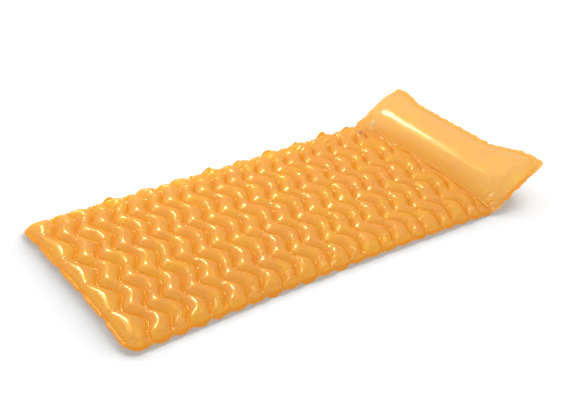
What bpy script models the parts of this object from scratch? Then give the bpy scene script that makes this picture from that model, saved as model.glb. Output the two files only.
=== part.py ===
"""Pool air mattress: wavy cross tubes between two welded vinyl films, and a separate pillow chamber.

Lengths are in metres. X runs from the foot to the head, Y across, Z up. The origin is on the
ground under the middle of the whole mat. Each film is its own thin shell, and the two inflation
valves are made of the pieces that move apart: base, stem, stopper, strap and check flap.
"""
import math

import bmesh
import bpy
from mathutils import Matrix, Vector
from mathutils.bvhtree import BVHTree
from mathutils.geometry import closest_point_on_tri

# The vinyl film and the small gap that is left between two pieces that touch
FILM = 0.00045
GAP = 0.0003

# The mattress, measured inflated
MAT_WIDTH = 0.830
TUBE_THICKNESS = 0.045
SIDE_WELD = 0.012
FOOT_WELD = 0.012
SIDE_DRAW_IN = 0.008
FOOT_CORNER = 0.025
FIRST_TUBE = 0.070
TUBE_PITCH = 0.073
WAVY_TUBES = 20
LAST_TUBE = 0.032
LAST_TUBE_FULLNESS = 0.55
CROWN_SHARES = (0.30, 0.70)
STRAIGHT_WELD_STEPS = 5
FOOT_CORNER_STEPS = 3

# The wavy cross welds: every second one is shifted sideways
WAVE_LENGTH = 0.167
WAVE_SWING = 0.0195
WAVE_PHASE = math.radians(47.0)
WAVE_SHIFT = math.radians(25.2)
END_SLOPE_LEAST = 0.040

# The weld between mattress and pillow is where the pillow folds
FOLD_WELD = 0.012
FOLD_GAP = 0.0008

# The pillow is a lens of film that lies on its round side and so tilts up
PILLOW_CHORD = 0.235
PILLOW_THICKNESS = 0.150
PILLOW_EAR = 0.015
PILLOW_END = 0.110
PILLOW_WIDTH = 0.822
PILLOW_SIDE_DRAW_IN = 0.010
PILLOW_TURN = math.radians(14.0)
PILLOW_END_STEPS = 4
PILLOW_MIDDLE_STEPS = 4

# Each valve: radii and heights along its axis, from the outer face of the film
FLANGE_RADIUS = 0.0150
FLANGE_THICKNESS = 0.0013
FLANGE_ROUNDING = 0.0008
COLLAR_WALL = 0.0014
COLLAR_DEPTH = 0.0050
STEM_RADIUS = 0.0063
STEM_WALL = 0.0023
STEM_TRAVEL = 0.0075
LIP_REACH = 0.0019
LIP_THICKNESS = 0.0010
BEAD_REACH = 0.0009
BEAD_HEIGHT = 0.0016
SEAT_RADIUS = 0.0028
STOPPER_DEPTH = 0.0075
STOPPER_TAPER = 0.0005
CAP_RADIUS = 0.0068
CAP_THICKNESS = 0.0013
STRAP_WIDTH = 0.0040
STRAP_THICKNESS = 0.0008
STRAP_REACH = 0.0055
FLAP_RADIUS = 0.0044
FLAP_THICKNESS = 0.0006
FLAP_TAB = 0.0010
FLAP_TAB_WIDTH = 0.0040
TURN_STEPS = 24
HOLE_GAP = 0.0004
CUT_DEPTH = 0.0030

# Where the valves are welded on: both near the head's far corner
MATTRESS_VALVE_TUBE = 20
MATTRESS_VALVE_FROM_SIDE = 0.080
PILLOW_VALVE_TURN = math.radians(-45.5)
PILLOW_VALVE_FROM_SIDE = 0.063

# Worked out from the sizes above
WELD_HEIGHT = TUBE_THICKNESS / 2
FOLD_LINE = FOOT_WELD + FIRST_TUBE + WAVY_TUBES * TUBE_PITCH + LAST_TUBE + FOLD_WELD / 2
LAST_WELD = FOLD_LINE - FOLD_WELD / 2
PILLOW_WELD = FOLD_LINE + FOLD_WELD / 2
HALF_CHORD = PILLOW_CHORD / 2
HALF_LENS = PILLOW_THICKNESS / 2
LENS_RADIUS = (HALF_CHORD ** 2 + HALF_LENS ** 2) / (2 * HALF_LENS)
LENS_ANGLE = math.asin(HALF_CHORD / LENS_RADIUS)
LENS_REST = LENS_RADIUS * math.cos(PILLOW_TURN / 2) + FILM + GAP / 2 - WELD_HEIGHT
PILLOW_TILT = LENS_ANGLE - math.acos(LENS_REST / LENS_RADIUS)
CHORD_WAY = Vector((math.cos(PILLOW_TILT), 0, math.sin(PILLOW_TILT)))
CHORD_NORMAL = Vector((-math.sin(PILLOW_TILT), 0, math.cos(PILLOW_TILT)))
EAR_TIP = PILLOW_WELD + (PILLOW_CHORD + PILLOW_EAR + SIDE_WELD) * CHORD_WAY.x
MIDDLE = Vector((-(EAR_TIP + FILM * CHORD_NORMAL.x) / 2, 0, 0))


def material(name, colour, roughness, see_through):
    """A glossy vinyl with its colour, roughness and share of light let through."""
    made = bpy.data.materials.new(name)
    made.use_nodes = True
    shader = made.node_tree.nodes["Principled BSDF"]
    shader.inputs["Base Color"].default_value = (*colour, 1.0)
    shader.inputs["Roughness"].default_value = roughness
    shader.inputs["Metallic"].default_value = 0.0
    shader.inputs["Transmission Weight"].default_value = see_through
    return made


def new_object(name, mesh_data, surface, parent):
    """An object with one material, under the empty that carries it."""
    made = bpy.data.objects.new(name, mesh_data)
    made.data.materials.append(surface)
    bpy.context.scene.collection.objects.link(made)
    made.parent = parent
    return made


def new_empty(name, place, turn, parent):
    """A frame that pieces hang on, at a joint or at a valve."""
    made = bpy.data.objects.new(name, None)
    bpy.context.scene.collection.objects.link(made)
    made.parent = parent
    made.location = place
    made.rotation_mode = "QUATERNION"
    made.rotation_quaternion = turn
    return made


def hide_cutter(cutter):
    """A cutter shapes other pieces and is no piece itself."""
    cutter.hide_render = True
    cutter.display_type = "WIRE"


def cut(piece, cutter):
    """Takes the cutter's shape out of the piece."""
    boolean = piece.modifiers.new("cut " + cutter.name, "BOOLEAN")
    boolean.operation = "DIFFERENCE"
    boolean.object = cutter


def add_row(bm, points):
    """One row of corners across the mat, from the near side to the far side."""
    return [bm.verts.new(point) for point in points]


def stitch(bm, row_a, row_b, key):
    """Fills the strip between two rows that need not have as many corners as each other."""
    i, j = 0, 0
    while i < len(row_a) - 1 or j < len(row_b) - 1:
        a_is_next = j == len(row_b) - 1
        if i < len(row_a) - 1 and j < len(row_b) - 1:
            a_is_next = key(row_a[i + 1].co) < key(row_b[j + 1].co)
        if a_is_next:
            bm.faces.new((row_a[i], row_b[j], row_a[i + 1]))
            i += 1
        else:
            bm.faces.new((row_a[i], row_b[j], row_b[j + 1]))
            j += 1


def along_y(point):
    return point.y


def along_x(point):
    return point.x


def film_sheet(name, bm, faces_up, surface, parent):
    """Turns an inner face of a chamber into a film that grows outwards by its thickness."""
    if not faces_up:
        bmesh.ops.reverse_faces(bm, faces=bm.faces)
    bmesh.ops.triangulate(bm, faces=bm.faces)
    mesh_data = bpy.data.meshes.new(name)
    bm.to_mesh(mesh_data)
    bm.free()
    sheet = new_object(name, mesh_data, surface, parent)
    thicken(sheet, FILM, 1.0)
    return sheet


def thicken(sheet, thickness, offset):
    """An even wall on one side of the face, or on both by the offset."""
    solid = sheet.modifiers.new("film thickness", "SOLIDIFY")
    solid.solidify_mode = "NON_MANIFOLD"
    solid.nonmanifold_thickness_mode = "CONSTRAINTS"
    solid.nonmanifold_merge_threshold = 0.00001
    solid.thickness = thickness
    solid.offset = offset


# The mattress films

def wave(groove, y):
    """Sideways place of a wavy weld at a distance y from the middle line."""
    shift = WAVE_SHIFT if groove % 2 == 0 else -WAVE_SHIFT
    return WAVE_SWING * math.sin(2 * math.pi * y / WAVE_LENGTH + WAVE_PHASE + shift)


def groove_x(groove):
    """Middle line of a cross weld, from the foot edge. Groove 0 is the straight foot weld."""
    if groove == 0:
        return FOOT_WELD
    return FOOT_WELD + FIRST_TUBE + (groove - 1) * TUBE_PITCH


def drawn_in_half_width(x):
    """Half the width at a place along the mat: the long sides draw in between the ends."""
    along = 2 * x / LAST_WELD - 1
    return MAT_WIDTH / 2 - SIDE_DRAW_IN * (1 - along * along)


def wave_corners(groove):
    """Where a wavy weld swings furthest each way, leaving out corners too close to a side."""
    shift = WAVE_SHIFT if groove % 2 == 0 else -WAVE_SHIFT
    limit = MAT_WIDTH / 2 - SIDE_WELD - END_SLOPE_LEAST
    corners = []
    most = math.ceil(2 * MAT_WIDTH / WAVE_LENGTH)
    for half_wave in range(-most, most + 1):
        turns = 0.25 + half_wave / 2 - WAVE_PHASE / (2 * math.pi)
        if abs(turns * WAVE_LENGTH) <= limit:
            corners.append((turns - shift / (2 * math.pi)) * WAVE_LENGTH)
    return corners


def groove_points(groove):
    """A wavy weld from side weld to side weld, at the height where the films meet."""
    x = groove_x(groove)
    end = drawn_in_half_width(x) - SIDE_WELD
    ys = [-end] + wave_corners(groove) + [end]
    return [Vector((x + wave(groove, y), y, 0)) for y in ys]


def straight_points(x, height, near_end, far_end):
    """A straight line across the mat in a few equal steps."""
    near = Vector((x, near_end, height))
    far = Vector((x, far_end, height))
    return [near.lerp(far, i / STRAIGHT_WELD_STEPS) for i in range(STRAIGHT_WELD_STEPS + 1)]


def crown_points(groove, share, height):
    """A line along a tube, a share of the way from one wavy weld to the next."""
    points = []
    for near, far in zip(groove_points(groove)[1:-1], groove_points(groove + 1)[1:-1]):
        point = near.lerp(far, share)
        point.z = height
        points.append(point)
    return points


def join_ends(points, next_points):
    """Brings the two crown lines of a tube together at its ends, a hair below the crown."""
    for end in (0, -1):
        middle = points[end].lerp(next_points[end], 0.5)
        middle.z -= GAP
        points[end] = middle.copy()
        next_points[end] = middle.copy()


def mattress_lines():
    """Each line of the mattress from foot to head, in order, with its height over the weld."""
    crown = WELD_HEIGHT - FILM - GAP / 2
    foot_end = drawn_in_half_width(FOOT_WELD) - SIDE_WELD
    head_end = drawn_in_half_width(LAST_WELD) - SIDE_WELD
    first_corners = groove_points(1)[1:-1]
    last_corners = groove_points(WAVY_TUBES + 1)[1:-1]
    first_x = FOOT_WELD + CROWN_SHARES[0] * FIRST_TUBE
    first_crowns = [
        straight_points(first_x, crown, first_corners[0].y, first_corners[-1].y),
        [Vector((FOOT_WELD + (point.x - FOOT_WELD) * CROWN_SHARES[1], point.y, crown))
         for point in first_corners],
    ]
    join_ends(*first_crowns)
    lines = [("weld", straight_points(FOOT_WELD, 0, -foot_end, foot_end))]
    lines += [("crown", points) for points in first_crowns]
    for groove in range(1, WAVY_TUBES + 1):
        crowns = [crown_points(groove, share, crown) for share in CROWN_SHARES]
        if groove != MATTRESS_VALVE_TUBE:
            join_ends(*crowns)
        lines.append(("weld", groove_points(groove)))
        lines += [("crown", points) for points in crowns]
    lines.append(("weld", groove_points(WAVY_TUBES + 1)))
    last_x = LAST_WELD - LAST_TUBE / 2 + WAVE_SWING / 4
    low_crown = crown * LAST_TUBE_FULLNESS
    lines.append(("crown", straight_points(last_x, low_crown, last_corners[0].y,
                                           last_corners[-1].y)))
    lines.append(("weld", straight_points(LAST_WELD, 0, -head_end, head_end)))
    return lines


def close_tube_ends(bm, chamber_rows):
    """The end of each tube: from its crown lines down to the side weld."""
    for end in (0, -1):
        for k, (kind, row) in enumerate(chamber_rows[:-1]):
            next_kind, next_row = chamber_rows[k + 1]
            if kind != "crown" or next_kind != "crown":
                continue
            ring = (chamber_rows[k - 1][1][end], row[end], next_row[end],
                    chamber_rows[k + 2][1][end])
            bm.faces.new(ring if end == -1 else ring[::-1])
        one_line = [k for k in range(1, len(chamber_rows) - 1)
                    if [r[0] for r in chamber_rows[k - 1:k + 2]] == ["weld", "crown", "weld"]]
        for k in one_line:
            ring = (chamber_rows[k - 1][1][end], chamber_rows[k][1][end],
                    chamber_rows[k + 1][1][end])
            bm.faces.new(ring if end == -1 else ring[::-1])


def side_points(side):
    """Outer edge of a long side, with its rounded corner at the foot."""
    edge = []
    for i in range(FOOT_CORNER_STEPS + 1):
        angle = math.pi / 2 * i / FOOT_CORNER_STEPS
        x = FOOT_CORNER * (1 - math.sin(angle))
        edge.append((x, drawn_in_half_width(x) - FOOT_CORNER * (1 - math.cos(angle))))
    edge.reverse()
    edge += [(x, drawn_in_half_width(x)) for x in (LAST_WELD / 2, LAST_WELD)]
    edge.append((FOLD_LINE - FOLD_GAP / 2, drawn_in_half_width(LAST_WELD)))
    return [Vector((x, side * y, 0)) for x, y in edge]


def mattress_sheet(name, side_up, surface, parent):
    """The upper film for side_up = 1, the lower one for -1: mirror images about the weld."""
    bm = bmesh.new()
    lines = mattress_lines()
    rows = [(kind, add_row(bm, points)) for kind, points in lines]
    for (_, row), (_, next_row) in zip(rows, rows[1:]):
        stitch(bm, row, next_row, along_y)
    close_tube_ends(bm, rows)
    welds = [row for kind, row in rows if kind == "weld"]
    near_edge = add_row(bm, side_points(-1))
    far_edge = add_row(bm, side_points(1))
    stitch(bm, [near_edge[0], far_edge[0]], welds[0], along_y)
    stitch(bm, welds[-1], [near_edge[-1], far_edge[-1]], along_y)
    stitch(bm, [row[-1] for row in welds], far_edge, along_x)
    stitch(bm, near_edge, [row[0] for row in welds], along_x)
    bmesh.ops.remove_doubles(bm, verts=bm.verts, dist=0.00001)
    bmesh.ops.recalc_face_normals(bm, faces=bm.faces)
    if sum(face.normal.z for face in bm.faces) < 0:
        bmesh.ops.reverse_faces(bm, faces=bm.faces)
    for vert in bm.verts:
        vert.co.z = WELD_HEIGHT + side_up * (vert.co.z + GAP / 2)
        vert.co += MIDDLE
    return film_sheet(name, bm, side_up > 0, surface, parent)


# The pillow films

def pillow_turns(side_up):
    """Angles round the lens of the film's lines. Two low ones lie level on the ground."""
    if side_up > 0:
        steps = math.ceil(2 * LENS_ANGLE / PILLOW_TURN)
        return [LENS_ANGLE * (2 * i / steps - 1) for i in range(steps + 1)]
    turns = [-LENS_ANGLE]
    most = math.ceil(2 * LENS_ANGLE / PILLOW_TURN)
    for i in range(-most, most):
        turn = -PILLOW_TILT + (i + 0.5) * PILLOW_TURN
        if abs(turn) < LENS_ANGLE - PILLOW_TURN / 3:
            turns.append(turn)
    return turns + [LENS_ANGLE]


def pillow_stations():
    """Places across the pillow as (share of the half width, share of the fullness)."""
    end_share = PILLOW_END / (PILLOW_WIDTH / 2 - SIDE_WELD)
    far = []
    for i in range(PILLOW_END_STEPS + 1):
        angle = math.pi / 2 * i / PILLOW_END_STEPS
        far.append((1 - end_share + end_share * math.sin(angle), math.cos(angle)))
    near = [(-share, full) for share, full in reversed(far)]
    inner = 1 - end_share
    middle = [(inner * (2 * i / PILLOW_MIDDLE_STEPS - 1), 1.0)
              for i in range(1, PILLOW_MIDDLE_STEPS)]
    return near + middle + far


def pillow_point(turn, across, fullness, side_up):
    """A point of the pillow's inner face. The corners of the head edge stand out as ears."""
    share = (1 + math.sin(turn) / math.sin(LENS_ANGLE)) / 2
    chord = PILLOW_CHORD + PILLOW_EAR * across ** 4
    bulge = LENS_RADIUS * (math.cos(turn) - math.cos(LENS_ANGLE)) * fullness
    half_width = PILLOW_WIDTH / 2 - SIDE_WELD - PILLOW_SIDE_DRAW_IN * 4 * share * (1 - share)
    point = Vector((PILLOW_WELD, across * half_width, WELD_HEIGHT))
    return point + CHORD_WAY * share * chord + CHORD_NORMAL * side_up * (bulge + GAP / 2)


def pillow_sheet(name, side_up, surface, parent):
    """One film of the pillow with its welded edges."""
    bm = bmesh.new()
    turns = pillow_turns(side_up)
    stations = pillow_stations()
    rows = [add_row(bm, [pillow_point(turn, across, full, side_up) for across, full in stations])
            for turn in turns]
    for row, next_row in zip(rows, rows[1:]):
        for i in range(len(row) - 1):
            bm.faces.new((row[i], next_row[i], next_row[i + 1], row[i + 1]))
    head = add_row(bm, [vert.co + CHORD_WAY * SIDE_WELD for vert in rows[-1]])
    fold_shift = Vector((FOLD_LINE + FOLD_GAP / 2 - PILLOW_WELD, 0, 0))
    fold = add_row(bm, [vert.co + fold_shift for vert in rows[0]])
    for row, next_row in ((fold, rows[0]), (rows[-1], head)):
        for i in range(len(row) - 1):
            bm.faces.new((row[i], next_row[i], next_row[i + 1], row[i + 1]))
    all_rows = [fold] + rows + [head]
    for end, side in ((0, -1), (-1, 1)):
        inner = [row[end] for row in all_rows]
        outer = add_row(bm, [vert.co + Vector((0, side * SIDE_WELD, 0)) for vert in inner])
        for i in range(len(inner) - 1):
            ring = (inner[i], inner[i + 1], outer[i + 1], outer[i])
            bm.faces.new(ring if side < 0 else ring[::-1])
    bmesh.ops.recalc_face_normals(bm, faces=bm.faces)
    if sum(face.normal.dot(CHORD_NORMAL) for face in bm.faces) < 0:
        bmesh.ops.reverse_faces(bm, faces=bm.faces)
    for vert in bm.verts:
        vert.co += MIDDLE
    return film_sheet(name, bm, side_up > 0, surface, parent)


# The valves

def turned(name, profile, surface, parent):
    """A round piece: its outline, as (radius, height) points, turned about the valve's axis."""
    bm = bmesh.new()
    verts = [bm.verts.new((radius, 0, height)) for radius, height in profile]
    edges = [bm.edges.new((verts[i], verts[(i + 1) % len(verts)]))
             for i in range(len(verts))
             if profile[i][0] > 0 or profile[(i + 1) % len(verts)][0] > 0]
    bmesh.ops.spin(bm, geom=verts + edges, axis=(0, 0, 1), cent=(0, 0, 0),
                   angle=2 * math.pi, steps=TURN_STEPS, use_merge=True)
    bmesh.ops.remove_doubles(bm, verts=bm.verts, dist=0.00001)
    bmesh.ops.recalc_face_normals(bm, faces=bm.faces)
    mesh_data = bpy.data.meshes.new(name)
    bm.to_mesh(mesh_data)
    bm.free()
    mesh_data.shade_smooth()
    mesh_data.set_sharp_from_angle(angle=math.radians(40))
    return new_object(name, mesh_data, surface, parent)


def extruded(name, outline, depth, surface, parent):
    """A flat piece: its closed outline drawn out by the depth vector."""
    bm = bmesh.new()
    face = bm.faces.new([bm.verts.new(point) for point in outline])
    grown = bmesh.ops.extrude_face_region(bm, geom=[face])
    moved = [item for item in grown["geom"] if isinstance(item, bmesh.types.BMVert)]
    bmesh.ops.translate(bm, verts=moved, vec=depth)
    bmesh.ops.recalc_face_normals(bm, faces=bm.faces)
    mesh_data = bpy.data.meshes.new(name)
    bm.to_mesh(mesh_data)
    bm.free()
    return new_object(name, mesh_data, surface, parent)


# Heights along the valve's axis that several pieces share
FLANGE_TOP = GAP + FLANGE_THICKNESS
LIP_BASE = FLANGE_TOP + GAP
LIP_TOP = LIP_BASE + LIP_THICKNESS
LIP_RADIUS = STEM_RADIUS + LIP_REACH
BORE_RADIUS = STEM_RADIUS - STEM_WALL
CAP_BASE = LIP_TOP + GAP
CAP_TOP = CAP_BASE + CAP_THICKNESS
COLLAR_INNER = STEM_RADIUS + GAP
COLLAR_OUTER = COLLAR_INNER + COLLAR_WALL
STEM_DEPTH = COLLAR_DEPTH + STEM_TRAVEL + GAP + BEAD_REACH / 2 + BEAD_HEIGHT


def base_profile():
    """The welded flange with the collar that the stem slides in."""
    return [
        (COLLAR_INNER, FLANGE_TOP),
        (FLANGE_RADIUS - FLANGE_ROUNDING, FLANGE_TOP),
        (FLANGE_RADIUS, FLANGE_TOP - FLANGE_ROUNDING),
        (FLANGE_RADIUS, -CUT_DEPTH),
        (COLLAR_OUTER, -CUT_DEPTH),
        (COLLAR_OUTER, -COLLAR_DEPTH),
        (COLLAR_INNER, -COLLAR_DEPTH),
    ]


def stem_profile():
    """The blow tube: a lip that rests on the flange, and a bead that stops it coming out."""
    bead_radius = STEM_RADIUS + BEAD_REACH
    bead_top = -STEM_DEPTH + BEAD_HEIGHT
    return [
        (BORE_RADIUS, LIP_TOP),
        (LIP_RADIUS - LIP_THICKNESS / 2, LIP_TOP),
        (LIP_RADIUS, LIP_TOP - LIP_THICKNESS / 2),
        (LIP_RADIUS, LIP_BASE),
        (STEM_RADIUS, LIP_BASE),
        (STEM_RADIUS, bead_top + BEAD_REACH / 2),
        (bead_radius, bead_top),
        (bead_radius, -STEM_DEPTH),
        (SEAT_RADIUS, -STEM_DEPTH),
        (SEAT_RADIUS, bead_top),
        (BORE_RADIUS, bead_top + BEAD_REACH / 2),
    ]


def stopper_profile():
    """The solid stopper under its cap."""
    radius = BORE_RADIUS - GAP
    tip = CAP_BASE - STOPPER_DEPTH
    return [
        (0, CAP_TOP),
        (CAP_RADIUS - CAP_THICKNESS / 2, CAP_TOP),
        (CAP_RADIUS, CAP_TOP - CAP_THICKNESS / 2),
        (CAP_RADIUS, CAP_BASE),
        (radius, CAP_BASE),
        (radius, tip + 2 * STOPPER_TAPER),
        (radius - STOPPER_TAPER, tip),
        (0, tip),
    ]


def strap_outline():
    """The strap seen from its edge: out from the lip, round a bend and back to the cap."""
    low = LIP_BASE + LIP_THICKNESS / 2
    high = CAP_BASE + CAP_THICKNESS / 2
    bend = (high - low) / 2
    turn_x = LIP_RADIUS + STRAP_REACH
    half = STRAP_THICKNESS / 2
    steps = 6
    outer = [(turn_x + (bend + half) * math.sin(math.pi * i / steps),
              (low + high) / 2 - (bend + half) * math.cos(math.pi * i / steps))
             for i in range(steps + 1)]
    inner = [(turn_x + (bend - half) * math.sin(math.pi * i / steps),
              (low + high) / 2 - (bend - half) * math.cos(math.pi * i / steps))
             for i in reversed(range(steps + 1))]
    outline = [(LIP_RADIUS + GAP, low - half)] + outer
    outline += [(CAP_RADIUS + GAP, high + half), (CAP_RADIUS + GAP, high - half)]
    outline += inner + [(LIP_RADIUS + GAP, low + half)]
    return [(x, -STRAP_WIDTH / 2, z) for x, z in outline]


def flap_outline():
    """The check flap from above: a disc with a tab that ends on its hinge line."""
    steps = 18
    half_tab = FLAP_TAB_WIDTH / 2
    start = math.asin(half_tab / FLAP_RADIUS)
    hinge = FLAP_RADIUS + FLAP_TAB
    points = []
    for i in range(steps + 1):
        angle = start + (2 * math.pi - 2 * start) * i / steps
        points.append((hinge - FLAP_RADIUS * math.cos(angle), FLAP_RADIUS * math.sin(angle), 0))
    return [(0, -half_tab, 0), (0, half_tab, 0)] + points


def valve(prefix, sheet, place, outward, strap_way, surface, parent):
    """One inflation valve on its own frame: Z points out of the chamber, X along the strap."""
    side = outward.cross(strap_way).normalized()
    strap = side.cross(outward)
    axes = Matrix((strap, side, outward)).transposed()
    frame = new_empty(prefix + "_valve", place, axes.to_quaternion(), parent)
    hole = turned(prefix + "_valve_hole", [
        (0, CUT_DEPTH), (COLLAR_OUTER + HOLE_GAP, CUT_DEPTH),
        (COLLAR_OUTER + HOLE_GAP, -CUT_DEPTH), (0, -CUT_DEPTH)], surface, frame)
    clearance = clearance_of(sheet, place)
    core = turned(prefix + "_valve_core", [
        (0, 2 * CUT_DEPTH), (COLLAR_OUTER - HOLE_GAP / 2, 2 * CUT_DEPTH),
        (COLLAR_OUTER - HOLE_GAP / 2, -2 * CUT_DEPTH), (0, -2 * CUT_DEPTH)], surface, frame)
    cut(sheet, hole)
    cut(clearance, core)
    base = turned(prefix + "_valve_base", base_profile(), surface, frame)
    cut(base, clearance)
    turned(prefix + "_valve_stem", stem_profile(), surface, frame)
    turned(prefix + "_valve_stopper", stopper_profile(), surface, frame)
    strap_depth = Vector((0, STRAP_WIDTH, 0))
    extruded(prefix + "_valve_strap", strap_outline(), strap_depth, surface, frame)
    flap_place = Vector((-FLAP_RADIUS - FLAP_TAB, 0, -STEM_DEPTH - GAP))
    flap_depth = Vector((0, 0, -FLAP_THICKNESS))
    flap = extruded(prefix + "_valve_flap", flap_outline(), flap_depth, surface, frame)
    flap.location = flap_place
    for cutter in (hole, core, clearance):
        hide_cutter(cutter)
    bpy.context.view_layer.update()
    hinge = flap.matrix_world.translation
    print(prefix, "valve at", [round(v, 5) for v in frame.matrix_world.translation],
          "outward", [round(v, 5) for v in outward],
          "flap hinge at", [round(v, 5) for v in hinge],
          "flap axis", [round(v, 5) for v in side])


def clearance_of(sheet, place):
    """The film round a valve, made thick enough to shape the valve's flange to it."""
    bm = bmesh.new()
    bm.from_mesh(sheet.data)
    reach = FLANGE_RADIUS + 2 * CUT_DEPTH
    far = []
    for face in bm.faces:
        nearest = closest_point_on_tri(place, *[vert.co for vert in face.verts])
        if (nearest - place).length > reach:
            far.append(face)
    bmesh.ops.delete(bm, geom=far, context="FACES")
    mesh_data = bpy.data.meshes.new(sheet.name + "_clearance")
    bm.to_mesh(mesh_data)
    bm.free()
    copy = bpy.data.objects.new(mesh_data.name, mesh_data)
    bpy.context.scene.collection.objects.link(copy)
    copy.parent = sheet.parent
    outside = FILM + GAP
    thickness = 2 * CUT_DEPTH + outside
    thicken(copy, thickness, 2 * outside / thickness - 1)
    return copy


def pillow_valve_frame(sheet):
    """Place and outward direction of the pillow's valve, on the outer face of the film."""
    across = (PILLOW_WIDTH / 2 - PILLOW_VALVE_FROM_SIDE) / (PILLOW_WIDTH / 2 - SIDE_WELD)
    end_share = PILLOW_END / (PILLOW_WIDTH / 2 - SIDE_WELD)
    into_end = max(0.0, (across - 1 + end_share) / end_share)
    fullness = math.sqrt(1 - into_end ** 2)
    wanted = pillow_point(PILLOW_VALVE_TURN, across, fullness, 1) + MIDDLE
    corners = [vert.co for vert in sheet.data.vertices]
    faces = [face.vertices for face in sheet.data.polygons]
    place, outward, _, _ = BVHTree.FromPolygons(corners, faces).find_nearest(wanted)
    return place + outward * FILM, outward


def line_x(points, y):
    """Where a line across the mat passes a distance y from the middle."""
    for near, far in zip(points, points[1:]):
        if near.y <= y <= far.y:
            return near.lerp(far, (y - near.y) / (far.y - near.y)).x
    return points[-1].x


def mattress_valve_frame():
    """Place of the mattress valve: on the flat crown of a tube, facing up."""
    y = MAT_WIDTH / 2 - MATTRESS_VALVE_FROM_SIDE
    crowns = [crown_points(MATTRESS_VALVE_TUBE, share, 0) for share in CROWN_SHARES]
    x = sum(line_x(points, y) for points in crowns) / len(crowns)
    return Vector((x, y, TUBE_THICKNESS)) + MIDDLE


for old in list(bpy.data.objects):
    bpy.data.objects.remove(old)

vinyl = material("orange_vinyl", (0.95, 0.42, 0.06), 0.12, 0.45)
clear = material("clear_vinyl", (0.96, 0.80, 0.55), 0.20, 0.70)
level = Matrix.Identity(3).to_quaternion()

mattress = new_empty("mattress", Vector((0, 0, 0)), level, None)
pillow = new_empty("pillow", Vector((0, 0, 0)), level, None)

mattress_top = mattress_sheet("mattress_top_sheet", 1, vinyl, mattress)
mattress_sheet("mattress_bottom_sheet", -1, vinyl, mattress)
pillow_top = pillow_sheet("pillow_top_sheet", 1, vinyl, pillow)
pillow_sheet("pillow_bottom_sheet", -1, vinyl, pillow)

valve("mattress", mattress_top, mattress_valve_frame(), Vector((0, 0, 1)),
      Vector((0, -1, 0)), clear, mattress)
pillow_place, pillow_outward = pillow_valve_frame(pillow_top)
valve("pillow", pillow_top, pillow_place, pillow_outward, Vector((0, -1, 0)), clear, pillow)
print("fold line at x", round(FOLD_LINE + MIDDLE.x, 5), "z", WELD_HEIGHT,
      "pillow tilt", round(math.degrees(PILLOW_TILT), 2))
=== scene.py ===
import math

import bmesh
import bpy
import numpy as np
from mathutils import Matrix, Vector


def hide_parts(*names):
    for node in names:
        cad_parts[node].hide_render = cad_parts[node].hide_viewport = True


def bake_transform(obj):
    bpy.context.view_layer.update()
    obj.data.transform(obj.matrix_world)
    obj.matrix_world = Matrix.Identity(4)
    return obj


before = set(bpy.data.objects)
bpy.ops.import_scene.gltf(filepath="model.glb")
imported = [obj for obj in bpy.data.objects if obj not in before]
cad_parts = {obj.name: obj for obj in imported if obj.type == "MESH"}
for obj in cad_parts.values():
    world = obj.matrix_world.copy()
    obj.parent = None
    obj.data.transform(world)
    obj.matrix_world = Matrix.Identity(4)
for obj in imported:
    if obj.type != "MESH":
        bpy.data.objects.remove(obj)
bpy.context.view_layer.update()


# Mattress films
# An upper and a lower sheet of soft, see-through orange vinyl. A hot tool welds them to each
# other along 21 wavy lines and one straight one, and round the rim, so that air blows them up
# into 22 cross tubes. The welded rim is left as a thin ruffled flange.
FOOT_X = -0.90572            # foot end of the rim in the shared frame
WELD_HEIGHT = 0.0225         # the welds lie half a tube above the ground
LAST_WELD = 22               # number of the weld that mattress and pillow share
MATTRESS_END = 1.574         # from the foot end to that weld
HALF_WIDTH = 0.403           # from the middle to a side weld, at both ends of the mat
WAIST, NEAR_WAIST = 0.009, 0.005       # drawn in at mid-length, the near side more
FOOT_CORNER, CORNER_ROUNDING = 0.034, 0.030
FOOT_WELD_AT = 0.0045
NEAR_FOOT_EAR, FAR_FOOT_EAR = 0.0125, 0.0040     # how far its ends run out to the foot
FIRST_WAVE_AT, TUBE_PITCH = 0.082, 0.073
WAVE_LENGTH, WAVE_SWING = 0.167, 0.0195
WAVE_START, WAVE_SHIFT = 47, 25.2      # degrees of the wave
FOOT_BOW_AT, FOOT_BOW = 0.004, 0.011       # the welds bow near the foot
HEAD_BOW, HEAD_DOME = 0.012, 0.0075        # and near the head, where they also rise
FOLD_CRINKLE = 0.0013
WELD_BAND = 0.0046           # flat width of one wavy weld
SLACK, LAST_SLACK = 0.255, 0.62        # a tube is cut wider than it ends up, the last one less
WIDTH_SLACK = 1.018          # and the sheet is cut wider from side to side
SIDE_SLACK, SIDE_SLACK_FROM = 0.017, 0.88    # spare length at each side, for full tube ends
STEPS_ACROSS = 134           # from side to side
FIRST_STEPS, TUBE_STEPS, LAST_STEPS = 12, 11, 8      # over one tube


def ramp(value, start, length):
    """Rises from 0 at start to 1 at start + length."""
    return np.clip((value - start) / length, 0, 1)


def eased(share):
    """A ramp with a soft start and end."""
    return share * share * (3 - 2 * share)


def to_side(y):
    """0 in the middle of the mat, 1 at its sides."""
    return np.clip(np.abs(y) / HALF_WIDTH, 0, 1) ** 2


def at_mid_length(x):
    return 1 - (2 * x / MATTRESS_END - 1) ** 2


def weld_wave(line, y):
    shift = WAVE_SHIFT if line % 2 == 0 else -WAVE_SHIFT
    return WAVE_SWING * np.sin(2 * math.pi * y / WAVE_LENGTH + math.radians(WAVE_START + shift))


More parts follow.
